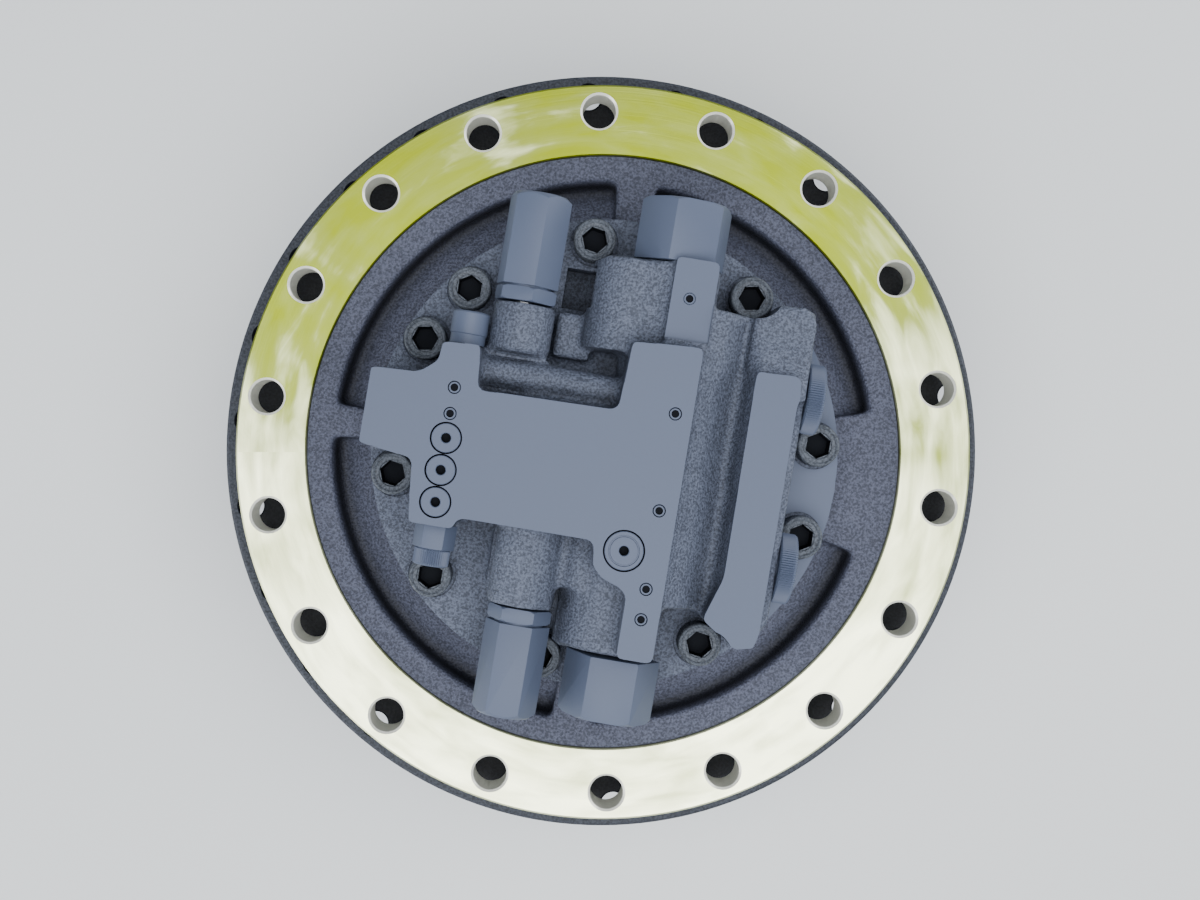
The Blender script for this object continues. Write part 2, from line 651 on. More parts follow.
# Rotating hub and end cover

def hub_profile():
    under = SPROCKET_Z - SPROCKET_THICKNESS
    seat = bore(SEAL_SEAT_RADIUS, BIG_SIDES)
    cup_seat = bore(BEARING_RADIUS + FIT, BIG_SIDES)
    recess = bore(SKIRT_RADIUS + SEAL_GAP, BIG_SIDES)
    return [
        (RING_TIP, HUB_BOTTOM), (HUB_RADIUS, HUB_BOTTOM),
        (HUB_RADIUS, under - HUB_FLARE), (HUB_RADIUS + HUB_FLARE, under),
        (SPROCKET_RADIUS, under), (SPROCKET_RADIUS, SPROCKET_Z),
        (recess, SPROCKET_Z), (recess, SKIRT_END_Z - SEAL_GAP),
        (seat, SKIRT_END_Z - SEAL_GAP), (seat, SEAL_FLOOR_Z),
        (cup_seat, SEAL_FLOOR_Z), (cup_seat, UPPER_BEARING_Z - FIT),
        (BEARING_SHOULDER_RADIUS, UPPER_BEARING_Z - FIT),
        (BEARING_SHOULDER_RADIUS, LOWER_BEARING_TOP + FIT),
        (cup_seat, LOWER_BEARING_TOP + FIT),
        (cup_seat, GEAR_CAVITY_TOP), (RING_TIP, GEAR_CAVITY_TOP),
    ]


def hub(parent):
    body = lathe("hub", hub_profile(), BIG_SIDES, grey_paint())
    spaces = gear_outline(RING_TEETH, RING_TIP - 0.5, RING_ROOT, -TOOTH_THINNING,
                          math.pi / RING_TEETH)
    boolean(body, prism("cutter", spaces, HUB_BOTTOM - 1, GEAR_CAVITY_TOP - 4, grey_paint()))
    holes = []
    for spot in circle_matrices(SPROCKET_HOLE_COUNT, SPROCKET_HOLE_CIRCLE, SPROCKET_HOLE_START_ANGLE):
        holes.append((SPROCKET_HOLE_RADIUS, SPROCKET_Z - SPROCKET_THICKNESS - PAST,
                      SPROCKET_Z + PAST, SMALL_SIDES, spot))
    for spot in circle_matrices(COVER_BOLT_COUNT, COVER_BOLT_CIRCLE):
        holes.append((COVER_BOLT_RADIUS + FIT, HUB_BOTTOM - 1,
                      HUB_BOTTOM + COVER_BOLT_DEPTH + 2, SMALL_SIDES, spot))
    cut_rods(body, holes)
    return place(smooth(body), parent)


def end_cover(parent):
    """Flat cover under the gearbox, with its ring of hex bolts as one piece with it."""
    profile = [
        (0, 0), (COVER_PAD_RADIUS - 3, 0), (COVER_PAD_RADIUS, 3),
        (COVER_PAD_RADIUS, COVER_RIM_Z), (HUB_RADIUS, COVER_RIM_Z),
        (HUB_RADIUS, COVER_THICKNESS), (0, COVER_THICKNESS),
    ]
    body = lathe("end_cover", profile, BIG_SIDES, grey_paint())
    bm = bmesh.new()
    for spot in circle_matrices(COVER_BOLT_COUNT, COVER_BOLT_CIRCLE):
        rod(bm, COVER_BOLT_HEAD_RADIUS, COVER_RIM_Z - COVER_BOLT_HEAD_HEIGHT, COVER_RIM_Z + OVERLAP,
            HEX_SIDES, spot)
        rod(bm, COVER_BOLT_RADIUS, COVER_THICKNESS - 2, HUB_BOTTOM + COVER_BOLT_DEPTH, SMALL_SIDES, spot)
    boolean(body, finish("bolts", bm, grey_paint()), "UNION")
    holes = []
    for x, y in OIL_PLUG_PLACES:
        spot = Matrix.Translation((x, y, 0))
        holes.append((OIL_PLUG_THREAD + FIT, -1, COVER_THICKNESS + PAST, HOLE_SIDES, spot))
    cut_rods(body, holes)
    recesses = [(OIL_PLUG_HEAD + 2, -1, OIL_PLUG_HEAD_HEIGHT + PAST, PIN_SIDES, Matrix.Translation((x, y, 0)))
                for x, y in OIL_PLUG_PLACES]
    return place(smooth(cut_rods(body, recesses)), parent)


def oil_plug(name, spot, parent):
    """Fill or drain plug, sunk in the cover so that the drive stands flat."""
    profile = [
        (0, 1), (OIL_PLUG_HEAD, 1), (OIL_PLUG_HEAD, OIL_PLUG_HEAD_HEIGHT + 1 - FIT),
        (OIL_PLUG_THREAD, OIL_PLUG_HEAD_HEIGHT + 1 - FIT), (OIL_PLUG_THREAD, COVER_THICKNESS - 2),
        (0, COVER_THICKNESS - 2),
    ]
    return place(lathe(name, profile, HOLE_SIDES, machined_steel()), parent, (*spot, 0))


# Main bearings and floating seal

def raceway(z, middle, sign, lean):
    """Radius of a raceway at height z; sign +1 is the outer one, lean is which way it opens."""
    offset = (ROLLER_RADIUS + FIT) / math.cos(ROLLER_TILT_ANGLE)
    return ROLLER_PITCH + sign * offset + lean * (z - middle) * math.tan(ROLLER_TILT_ANGLE)


def inner_ring(name, low, lean, parent):
    high = low + BEARING_WIDTH
    middle = (low + high) / 2
    inner = bore(BEARING_BORE, 2 * ROLLER_COUNT)
    profile = [(inner, low), (raceway(low, middle, -1, lean), low),
               (raceway(high, middle, -1, lean), high), (inner, high)]
    return place(lathe(name, profile, 2 * ROLLER_COUNT, bearing_steel()), parent)


def outer_ring(name, low, lean, parent):
    high = low + BEARING_WIDTH
    middle = (low + high) / 2
    wide, narrow = [bore(raceway(z, middle, 1, lean), 2 * ROLLER_COUNT) for z in (low, high)]
    profile = [(wide, low), (BEARING_RADIUS, low), (BEARING_RADIUS, high), (narrow, high)]
    return place(lathe(name, profile, 2 * ROLLER_COUNT, bearing_steel()), parent)


def roller_set(name, low, lean, parent):
    """Tapered rollers in their cage, leaning with the raceways; they circle as one set."""
    middle = low + BEARING_WIDTH / 2
    slope = lean * math.tan(ROLLER_TILT_ANGLE)
    half, wall = ROLLER_LENGTH / 2, CAGE_WALL
    profile = [(ROLLER_PITCH - half * slope - wall, middle - half),
               (ROLLER_PITCH - half * slope + wall, middle - half),
               (ROLLER_PITCH + half * slope + wall, middle + half),
               (ROLLER_PITCH + half * slope - wall, middle + half)]
    cage = lathe(name, profile, 2 * ROLLER_COUNT, bearing_steel())
    bm = bmesh.new()
    for spot in circle_matrices(ROLLER_COUNT, ROLLER_PITCH):
        lean_over = Matrix.Rotation(lean * ROLLER_TILT_ANGLE, 4, "Y") @ Matrix.Rotation(math.pi / 2, 4, "Z")
        rod(bm, ROLLER_RADIUS, -half + 1, half - 1, SMALL_SIDES,
            spot @ Matrix.Translation((0, 0, middle)) @ lean_over)
    boolean(cage, finish("rollers", bm, bearing_steel()), "UNION")
    return place(smooth(cage), parent)


def bearing_nut(parent):
    thread = bore(BEARING_BORE, MID_SIDES)
    profile = [(thread, NUT_Z), (SPINDLE_SHOULDER_RADIUS, NUT_Z),
               (SPINDLE_SHOULDER_RADIUS, NUT_Z + NUT_HEIGHT), (thread, NUT_Z + NUT_HEIGHT)]
    nut = lathe("bearing_nut", profile, MID_SIDES, machined_steel())
    slots = [(NUT_SLOT, NUT_Z - PAST, NUT_Z + NUT_HEIGHT / 2, SMALL_SIDES, spot)
             for spot in circle_matrices(NUT_SLOT_COUNT, SPINDLE_SHOULDER_RADIUS)]
    return place(cut_rods(nut, slots), parent)


def seal_ring(name, side, parent):
    """One metal seal ring: side +1 is the fixed upper one, -1 the turning lower one."""
    face = SEAL_PLANE_Z + side * FIT / 2
    back = face + side * (SEAL_RING_HEIGHT - 2)
    ramp = SEAL_SEAT_RADIUS - 2 * TORIC_RADIUS - 2 * FIT
    profile = [(SEAL_INNER_RADIUS, face), (ramp + SEAL_LAND, face), (ramp, face + side * SEAL_LAND),
               (ramp, back), (SEAL_INNER_RADIUS, back)]
    return place(lathe(name, profile, MID_SIDES, machined_steel()), parent)


def toric_ring(name, side, parent):
    """The rubber ring between a metal seal ring and its seat."""
    radius = bore(SEAL_SEAT_RADIUS, BIG_SIDES) - TORIC_RADIUS - FIT
    z = SEAL_PLANE_Z + side * (SEAL_RING_HEIGHT - TORIC_RADIUS - 5 * FIT)
    angles = [2 * math.pi * index / TORIC_SIDES for index in range(TORIC_SIDES)]
    profile = [(radius + TORIC_RADIUS * math.cos(a), z + TORIC_RADIUS * math.sin(a)) for a in angles]
    return place(lathe(name, profile, MID_SIDES, black_rubber()), parent)


# Gearbox

def first_sun(parent):
    """Pinion and its shaft in one, which floats in the drive shaft's end."""
    turn = sun_turn(FIRST_PLANETS_START_ANGLE, FIRST_SUN_TEETH, FIRST_PLANET_TEETH)
    gear = external_gear("first_sun", FIRST_SUN_TEETH, FIRST_PLANET_Z, FIRST_PLANET_TOP,
                         0, turn, gear_steel())
    bm = bmesh.new()
    rod(bm, SUN_SHAFT_RADIUS, FIRST_PLANET_TOP - OVERLAP, SHAFT_LOW_Z + SUN_SHAFT_OVERLAP, PIN_SIDES)
    boolean(gear, finish("stem", bm, gear_steel()), "UNION")
    return place(gear, parent)


def first_planet(index, parent):
    angle = planet_angles(FIRST_PLANETS_START_ANGLE)[index]
    x, y = polar(FIRST_CENTRE, angle)
    gear = external_gear("first_planet_%d" % (index + 1), FIRST_PLANET_TEETH, FIRST_PLANET_Z,
                         FIRST_PLANET_TOP, FIRST_PIN_RADIUS + FIT,
                         planet_turn(angle, FIRST_PLANET_TEETH), gear_steel(), FIRST_PLANET_ADDENDUM)
    return place(gear, parent, (x, y, 0))


def first_carrier(parent):
    """Plate with three pressed planet pins, splined on the neck of the second sun."""
    neck = bore(SECOND_SUN_NECK + FIT, MID_SIDES)
    rim = FIRST_CENTRE + FIRST_PIN_RADIUS + FIRST_CARRIER_RIM
    profile = [(neck, FIRST_CARRIER_Z), (rim, FIRST_CARRIER_Z),
               (rim, FIRST_CARRIER_TOP), (neck, FIRST_CARRIER_TOP)]
    plate = lathe("first_carrier", profile, MID_SIDES, gear_steel())
    bm = bmesh.new()
    for angle in planet_angles(FIRST_PLANETS_START_ANGLE):
        rod(bm, FIRST_PIN_RADIUS, FIRST_PLANET_Z, FIRST_CARRIER_TOP - OVERLAP, PIN_SIDES,
            Matrix.Translation((*polar(FIRST_CENTRE, angle), 0)))
    boolean(plate, finish("pins", bm, gear_steel()), "UNION")
    return place(smooth(plate), parent)


def second_sun(parent):
    turn = sun_turn(SECOND_PLANETS_START_ANGLE, SECOND_SUN_TEETH, SECOND_PLANET_TEETH)
    gear = external_gear("second_sun", SECOND_SUN_TEETH, SECOND_PLANET_Z, SECOND_PLANET_TOP,
                         0, turn, gear_steel())
    bm = bmesh.new()
    rod(bm, SECOND_SUN_NECK, FIRST_CARRIER_Z, SECOND_PLANET_Z + OVERLAP, MID_SIDES)
    boolean(gear, finish("neck", bm, gear_steel()), "UNION")
    cut_rods(gear, [(SECOND_SUN_BORE, FIRST_CARRIER_Z - PAST, SECOND_PLANET_TOP + PAST, PIN_SIDES, None)])
    return place(gear, parent)


def second_planet(index, parent):
    angle = planet_angles(SECOND_PLANETS_START_ANGLE)[index]
    x, y = polar(SECOND_CENTRE, angle)
    gear = external_gear("second_planet_%d" % (index + 1), SECOND_PLANET_TEETH, SECOND_PLANET_Z,
                         SECOND_PLANET_TOP, SECOND_PIN_RADIUS + FIT,
                         planet_turn(angle, SECOND_PLANET_TEETH), gear_steel())
    return place(gear, parent, (x, y, 0))


def second_carrier(parent):
    """Cage that holds the second planets still: plates, webs and pressed pins, splined on the spindle."""
    rim = SECOND_CENTRE + SECOND_PIN_RADIUS + SECOND_CARRIER_RIM
    seat = bore(SPLINE_SEAT_RADIUS + FIT, MID_SIDES)
    upper = [(seat, SECOND_UPPER_Z), (rim, SECOND_UPPER_Z),
             (rim, SECOND_UPPER_TOP), (seat, SECOND_UPPER_TOP)]
    lower = [(SECOND_SUN_NECK + 4, SECOND_LOWER_Z), (rim, SECOND_LOWER_Z),
             (rim, SECOND_LOWER_Z + SECOND_CARRIER_LOWER),
             (SECOND_SUN_NECK + 4, SECOND_LOWER_Z + SECOND_CARRIER_LOWER)]
    cage = lathe("second_carrier", upper, MID_SIDES, raw_casting())
    boolean(cage, lathe("lower_plate", lower, MID_SIDES, raw_casting()), "UNION")
    for angle in planet_angles(SECOND_PLANETS_START_ANGLE):
        bm = bmesh.new()
        x, y = polar(rim - WEB_RADIUS - 4, angle + math.pi / PLANET_COUNT)
        rod(bm, WEB_RADIUS, SECOND_LOWER_Z + OVERLAP, SECOND_UPPER_TOP - OVERLAP, SMALL_SIDES,
            Matrix.Translation((x, y, 0)))
        boolean(cage, finish("web", bm, raw_casting()), "UNION")
    bm = bmesh.new()
    for angle in planet_angles(SECOND_PLANETS_START_ANGLE):
        rod(bm, SECOND_PIN_RADIUS, SECOND_LOWER_Z + OVERLAP, SECOND_UPPER_TOP - OVERLAP, PIN_SIDES,
            Matrix.Translation((*polar(SECOND_CENTRE, angle), 0)))
    boolean(cage, finish("pins", bm, raw_casting()), "UNION")
    return place(smooth(cage), parent)


# Motor inside the housing

def stations():
    """Heights of the motor's rotating group, from the swash plate up."""
    swash_low = MOTOR_FLOOR_TOP_Z + FIT
    swash_top = swash_low + SWASH_THICKNESS
    return {"swash_low": swash_low, "swash_top": swash_top,
            "shoe_low": swash_top + FIT, "shoe_top": swash_top + FIT + SHOE_PLATE}


def swash_plate(parent):
    at = stations()
    profile = [(SHAFT_RADIUS + SHAFT_SPACE, at["swash_low"]), (SWASH_RADIUS, at["swash_low"]),
               (SWASH_RADIUS, at["swash_top"]), (SHAFT_RADIUS + SHAFT_SPACE, at["swash_top"])]
    return place(lathe("swash_plate", profile, MID_SIDES, machined_steel()), parent)


def piston_rods(radius, low, high, sides, top_radius=None):
    bm = bmesh.new()
    for spot in circle_matrices(PISTON_COUNT, PISTON_CIRCLE):
        rod(bm, radius, low, high, sides, spot, top_radius)
    return finish("rods", bm, bronze())


def slipper_shoes(parent):
    """Nine slipper shoes held by the retainer plate that presses them on the swash plate."""
    at = stations()
    top = at["shoe_top"]
    inner, outer = SHAFT_RADIUS + SHAFT_SPACE, PISTON_CIRCLE + SHOE_RADIUS - 2
    profile = [(inner, top - PAST), (outer, top - PAST), (outer, top + 3), (inner, top + 3)]
    plate = lathe("slipper_shoes", profile, MID_SIDES, bronze())
    boolean(plate, piston_rods(SHOE_RADIUS, at["shoe_low"], top, HOLE_SIDES), "UNION")
    boolean(plate, piston_rods(SOCKET_RADIUS + 3, top, top + SOCKET_RADIUS, HOLE_SIDES), "UNION")
    boolean(plate, piston_rods(SOCKET_RADIUS / 2, top, top + SOCKET_RADIUS + 1, HOLE_SIDES, SOCKET_RADIUS))
    return place(smooth(plate), parent)


def cylinder_block(parent):
    """Cylinder block with its nine pistons, whose ball ends sit in the slipper shoes."""
    hole = bore(SHAFT_RADIUS + FIT, MID_SIDES)
    profile = [(hole, BLOCK_LOW_Z), (BLOCK_RADIUS, BLOCK_LOW_Z),
               (BLOCK_RADIUS, BLOCK_TOP_Z), (hole, BLOCK_TOP_Z)]
    block = lathe("cylinder_block", profile, MID_SIDES, bronze())
    tip, top = stations()["shoe_top"] + 2 * FIT, BLOCK_LOW_Z + OVERLAP
    bm = bmesh.new()
    for spot in circle_matrices(PISTON_COUNT, PISTON_CIRCLE):
        pin = [(0, tip), (SOCKET_RADIUS / 2 - FIT, tip), (SOCKET_RADIUS - 1, tip + SOCKET_RADIUS),
               (PISTON_RADIUS, tip + PISTON_NECK), (PISTON_RADIUS, top), (0, top)]
        spun(bm, pin, HOLE_SIDES, spot)
    boolean(block, finish("pistons", bm, gear_steel()), "UNION")
    return place(smooth(block), parent)


def valve_plate(parent):
    low = BLOCK_TOP_Z + FIT
    high = low + VALVE_PLATE_THICKNESS
    profile = [(SHAFT_RADIUS + SHAFT_SPACE, low), (VALVE_PLATE_RADIUS, low),
               (VALVE_PLATE_RADIUS, high), (SHAFT_RADIUS + SHAFT_SPACE, high)]
    plate = lathe("valve_plate", profile, MID_SIDES, bronze())
    bm = bmesh.new()
    for start in (0, math.pi):
        angles = [start + KIDNEY_END_ANGLE + (math.pi - 2 * KIDNEY_END_ANGLE) * step / 4 for step in range(5)]
        outer = [polar(PISTON_CIRCLE + KIDNEY_WIDTH / 2, a) for a in angles]
        inner = [polar(PISTON_CIRCLE - KIDNEY_WIDTH / 2, a) for a in reversed(angles)]
        extruded(bm, outer + inner, low - PAST, high + PAST)
    boolean(plate, finish("cutter", bm, bronze()))
    return place(plate, parent)


def drive_shaft(parent):
    top = RING_FACE_Z + MOTOR_BOSS_RISE + TOP_BEARING_HEIGHT + OVERLAP
    socket = bore(SUN_SHAFT_RADIUS + FIT, MID_SIDES)
    profile = [
        (socket, SHAFT_LOW_Z), (SHAFT_RADIUS, SHAFT_LOW_Z), (SHAFT_RADIUS, BLOCK_TOP_Z),
        (SHAFT_END_RADIUS, BLOCK_TOP_Z), (SHAFT_END_RADIUS, top), (0, top), (0, MOTOR_FLOOR_LOW_Z + OVERLAP),
        (socket, MOTOR_FLOOR_LOW_Z + OVERLAP),
    ]
    return place(lathe("drive_shaft", profile, MID_SIDES, machined_steel()), parent)


def shaft_bearing(name, low, height, inner, outer, parent):
    """A ball bearing of the drive shaft, drawn as one ring."""
    hole = bore(inner + FIT, MID_SIDES)
    profile = [(hole, low), (outer, low), (outer, low + height), (hole, low + height)]
    return place(lathe(name, profile, MID_SIDES, bearing_steel()), parent)


def shaft_bearings(parent):
    lower = MOTOR_FLOOR_TOP_Z - SHAFT_BEARING_HEIGHT - FIT
    upper = RING_FACE_Z + MOTOR_BOSS_RISE + FIT
    shaft_bearing("lower_shaft_bearing", lower, SHAFT_BEARING_HEIGHT, SHAFT_RADIUS,
                  SHAFT_BEARING_RADIUS, parent)
    shaft_bearing("upper_shaft_bearing", upper, TOP_BEARING_HEIGHT, SHAFT_END_RADIUS,
                  TOP_BEARING_RADIUS, parent)


def shaft_seal(parent):
    low = MOTOR_FLOOR_TOP_Z - MOTOR_FLOOR_THICKNESS + 2
    hole = bore(SHAFT_RADIUS + FIT, MID_SIDES)
    profile = [(hole, low), (SHAFT_BEARING_RADIUS, low),
               (SHAFT_BEARING_RADIUS, low + SHAFT_SEAL_HEIGHT), (hole, low + SHAFT_SEAL_HEIGHT)]
    return place(lathe("shaft_seal", profile, MID_SIDES, black_rubber()), parent)


def brake_stack():
    """Heights of the friction disc, the steel plate and the brake piston."""
    disc = brake_floor_height() + FIT
    plate = disc + BRAKE_DISC_THICKNESS + FIT
    return disc, plate, plate + BRAKE_DISC_THICKNESS + FIT


def brake_ring(name, low, inner, outer, mat, parent):
    hole = bore(inner, MID_SIDES)
    high = low + BRAKE_DISC_THICKNESS
    profile = [(hole, low), (outer, low), (outer, high), (hole, high)]
    return place(lathe(name, profile, MID_SIDES, mat), parent)


def brake_piston(parent):
    low = brake_stack()[2]
    profile = [(BLOCK_RADIUS + SEAL_GAP, low), (BRAKE_BORE - FIT, low),
               (BRAKE_BORE - FIT, low + BRAKE_PISTON_HEIGHT),
               (BLOCK_RADIUS + SEAL_GAP, low + BRAKE_PISTON_HEIGHT)]
    return place(lathe("brake_piston", profile, MID_SIDES, machined_steel()), parent)


def brake_spring(parent):
    """Disc spring between the brake piston and the rear cover."""
    low = brake_stack()[2] + BRAKE_PISTON_HEIGHT + FIT
    top = BOSS_TOP_Z
    inner, outer = BLOCK_RADIUS + 2 * SEAL_GAP, BRAKE_BORE - SEAL_GAP
    profile = [(outer, low), (outer, low + BRAKE_SPRING_SHEET), (inner, top),
               (inner, top - BRAKE_SPRING_SHEET)]
    return place(lathe("brake_disc_spring", profile, MID_SIDES, spring_steel()), parent)


# Rear cover with the valve block

def casting(name, sizes, base, corner=CORNER):
    """Upright block with cut corners, standing in the cover's flange."""
    left, right, low, high, top = sizes
    outline = [(left + corner, low), (right - corner, low), (right, low + corner), (right, high - corner),
               (right - corner, high), (left + corner, high), (left, high - corner), (left, low + corner)]
    return prism(name, outline, base, top, grey_paint())


def boss(radius, low, high, u, h):
    """Round cast boss that lies along v."""
    bm = bmesh.new()
    rod(bm, radius, low, high, BOSS_SIDES, along_v(u, h))
    return finish("boss", bm, grey_paint())


def saddle(base):
    """Web that slopes from the spool column down to the port body."""
    left, right = SPOOL_COLUMN[1] - CORNER, PORT_BODY[0] + CORNER
    low, high = PORT_BODY[2] + PORT_CORNER, PORT_BODY[3] - PORT_CORNER
    section = [(left, base), (right, base), (right, SADDLE_TOP), (SPOOL_COLUMN[1] + PAST, BLOCK_TOP - 3),
               (left, BLOCK_TOP - 3)]
    bm = bmesh.new()
    extruded(bm, [(-h, u) for u, h in section], low, high)
    turn = Matrix(((0, 1, 0, 0), (0, 0, 1, 0), (-1, 0, 0, 0), (0, 0, 0, 1)))
    bmesh.ops.transform(bm, matrix=turn, verts=bm.verts)
    return finish("saddle", bm, grey_paint())


def port_slope():
    """Cutter that slopes the upper end of the port body."""
    far, top = PORT_BODY[3] + PAST, PORT_BODY[4]
    section = [(top, PORT_SLOPE_V), (top + CORNER, PORT_SLOPE_V), (top + CORNER, far),
               (top - PORT_SLOPE_DROP, far)]
    bm = bmesh.new()
    extruded(bm, section, PORT_BODY[0] - PAST, PORT_BODY[1] + PAST)
    turn = Matrix(((0, 0, 1, 0), (0, 1, 0, 0), (1, 0, 0, 0), (0, 0, 0, 1)))
    bmesh.ops.transform(bm, matrix=turn, verts=bm.verts)
    return finish("slope", bm, grey_paint())


def cast_bosses():
    """Round bosses over the bores, and the cast pipe along the bridge."""
    radius, u, h = UPPER_BOSS
    yield boss(radius, UPPER_SEAT_FLAT[2] - CORNER, CB_BODY_TOP - 3, u, h)
    radius, u, h = LOWER_BOSS
    yield boss(radius, *LOWER_BOSS_V, u, h)
    radius, u, h = LOWER_WAIST
    yield boss(radius, *LOWER_WAIST_V, u, h)
    yield boss(RELIEF_BOSS_RADIUS, BRIDGE[3] - CORNER, RELIEF_UPPER_SEAT, RELIEF_UPPER_U, RELIEF_H)
    yield boss(RELIEF_BOSS_RADIUS, RELIEF_LOWER_SEAT, BRIDGE[2] + CORNER, RELIEF_LOWER_U, RELIEF_H)
    bm = bmesh.new()
    rod(bm, GALLERY_RADIUS, BRIDGE[0] + CORNER, UPPER_ARM[0] + CORNER, BOSS_SIDES,
        along_u(GALLERY_V, GALLERY_H))
    yield finish("gallery", bm, grey_paint())


def cover_flange():
    low = MOTOR_BOSS_RISE
    recess = bore(TOP_BEARING_RADIUS + FIT, MID_SIDES)
    pocket_top = low + TOP_BEARING_HEIGHT + BEARING_POCKET_SPACE
    profile = [(recess, low), (FLANGE_RADIUS, low), (FLANGE_RADIUS, FLANGE_TOP),
               (0, FLANGE_TOP), (0, pocket_top), (recess, pocket_top)]
    return lathe("rear_cover", profile, BIG_SIDES, grey_paint())


def rear_cover(parent):
    """Cover of the motor with the valve block cast on it, and its socket screws."""
    body = cover_flange()
    blocks = (BRIDGE, SPOOL_COLUMN, UPPER_ARM, TWO_SPEED_COLUMN, LEFT_WING, UPPER_SEAT_FLAT,
              UPPER_CHEEK, LOWER_CHEEK, UPPER_RELIEF_FOOT, LOWER_RELIEF_FOOT, SQUARE_NUB)
    for index, sizes in enumerate(blocks):
        base = FLANGE_TOP - CORNER + CASTING_STEP * index
        boolean(body, casting("casting", sizes, base), "UNION")
    boolean(body, casting("shoulder", PLUG_SHOULDER, FLANGE_TOP - PAST, PLUG_CORNER), "UNION")
    boolean(body, casting("ports", PORT_BODY, FLANGE_TOP - 2 * CORNER, PORT_CORNER), "UNION")
    boolean(body, saddle(FLANGE_TOP - PAST), "UNION")
    boolean(body, port_slope())
    for solid in cast_bosses():
        boolean(body, solid, "UNION")
    return place(smooth(carve_cover(body)), parent)


def carve_cover(body):
    """Bores of the valves, recesses for the plugs, and room for the cover screws."""
    spool_low, spool_high = CB_BODY_LOW - CORNER, CB_BODY_TOP + CORNER
    cut_rods(body, [(CB_SPOOL_RADIUS + FIT, spool_low, spool_high, PIN_SIDES, along_v(*CB_AXIS))])
    cut_rods(body, [
        (CB_SPRING_BORE, CB_SHOULDER, spool_high, PIN_SIDES, along_v(*CB_AXIS)),
        (CB_SPRING_BORE, spool_low, -CB_SHOULDER, PIN_SIDES, along_v(*CB_AXIS)),
        (RELIEF_BORE, RELIEF_UPPER_SEAT - RELIEF_BORE_DEPTH, RELIEF_UPPER_SEAT + PAST, SMALL_SIDES,
         along_v(RELIEF_UPPER_U, RELIEF_H)),
        (RELIEF_BORE, RELIEF_LOWER_SEAT - PAST, RELIEF_LOWER_SEAT + RELIEF_BORE_DEPTH, SMALL_SIDES,
         along_v(RELIEF_LOWER_U, RELIEF_H)),
        (TS_SPOOL_RADIUS + FIT, TS_LOWER_SEAT - PAST, TS_UPPER_SEAT + PAST, SMALL_SIDES, along_v(*TS_AXIS)),
    ] + [
        (PORT_BORE_RADIUS, PORT_FACE_U - PORT_BORE_DEPTH, PORT_FACE_U + PAST, PIN_SIDES, along_u(v, PORT_H))
        for v in PORT_V
    ])
    recesses = [(radius + FIT, BLOCK_TOP - FACE_PLUG_DEPTH, BLOCK_TOP + PAST, PIN_SIDES,
                 Matrix.Translation((u, v, 0))) for u, v, radius in FACE_PLUGS]
    recesses += [(PIN_PLUG_RADIUS, BLOCK_TOP - PIN_PLUG_RECESS, BLOCK_TOP + PAST, SMALL_SIDES,
                  Matrix.Translation((u, v, 0))) for u, v in PIN_PLUGS]
    cut_rods(body, recesses)
    cut_rods(body, [(SCREW_HEAD_RADIUS + SCREW_HEAD_SPACE, FLANGE_TOP, BLOCK_TOP + PAST, HOLE_SIDES,
                     Matrix.Translation((u, v, 0))) for u, v in screw_places()])
    return boolean(body, cover_screws(), "UNION")


def screw_places():
    """Cover screws in the block's own frame."""
    return [polar(SCREW_CIRCLE, math.radians(angle) - BLOCK_TURN_ANGLE) for angle in SCREW_ANGLES]


def cover_screws():
    """Socket screws of the rear cover, one piece with it; their shanks reach into the housing."""
    bm = bmesh.new()
    for u, v in screw_places():
        spot = Matrix.Translation((u, v, 0))
        rod(bm, SCREW_HEAD_RADIUS, FLANGE_TOP - OVERLAP, FLANGE_TOP + SCREW_HEAD_HEIGHT, HOLE_SIDES, spot)
        rod(bm, SCREW_RADIUS, -SCREW_DEPTH, MOTOR_BOSS_RISE + OVERLAP + 1, SMALL_SIDES, spot)
    return finish("screws", bm, spring_steel())


def hexagon(bm, flats, low, high, matrix, cone=0.0):
    """Hexagon bar across flats between two heights, its upper end coned."""
    corner = flats / math.sqrt(3)
    profile = [(0, low), (corner, low), (corner, high - cone), (corner - cone, high), (0, high)]
    spun(bm, profile if cone else profile[:2] + profile[3:], HEX_SIDES,
         matrix @ Matrix.Rotation(math.radians(30), 4, "Z"))


def outward(side):
    """Matrix that lays a Z-axis shape along v, pointing away from the block's middle."""
    return Matrix.Rotation(0 if side > 0 else math.pi, 4, "X")


def counterbalance_plug(name, side, parent):
    """One of the two large hex plugs that close the counterbalance bore."""
    seat = CB_BODY_TOP if side > 0 else -CB_BODY_LOW
    bm = bmesh.new()
    hexagon(bm, CB_PLUG_FLATS, seat + FIT, seat + CB_PLUG_LENGTH, along_v(*CB_AXIS) @ outward(side),
            PLUG_CONE)
    return place(finish(name, bm, grey_paint()), parent)


def counterbalance_spool(parent):
    bm = bmesh.new()
    end, shoulder, body, neck = CB_NOSE_END, CB_SHOULDER, CB_SPOOL_RADIUS, CB_SPOOL_NECK
    land, far = CB_MIDDLE_LAND / 2, CB_MIDDLE_LAND / 2 + CB_GROOVE
    ease = body - neck
    half = [(body, land), (neck, land + ease), (neck, far - ease), (body, far), (body, shoulder),
            (CB_NOSE_RADIUS, shoulder), (CB_NOSE_RADIUS, end), (0, end)]
    profile = [(radius, -v) for radius, v in reversed(half)] + half
    spun(bm, profile, SMALL_SIDES, along_v(*CB_AXIS))
    return place(smooth(finish("counterbalance_spool", bm, machined_steel())), parent)


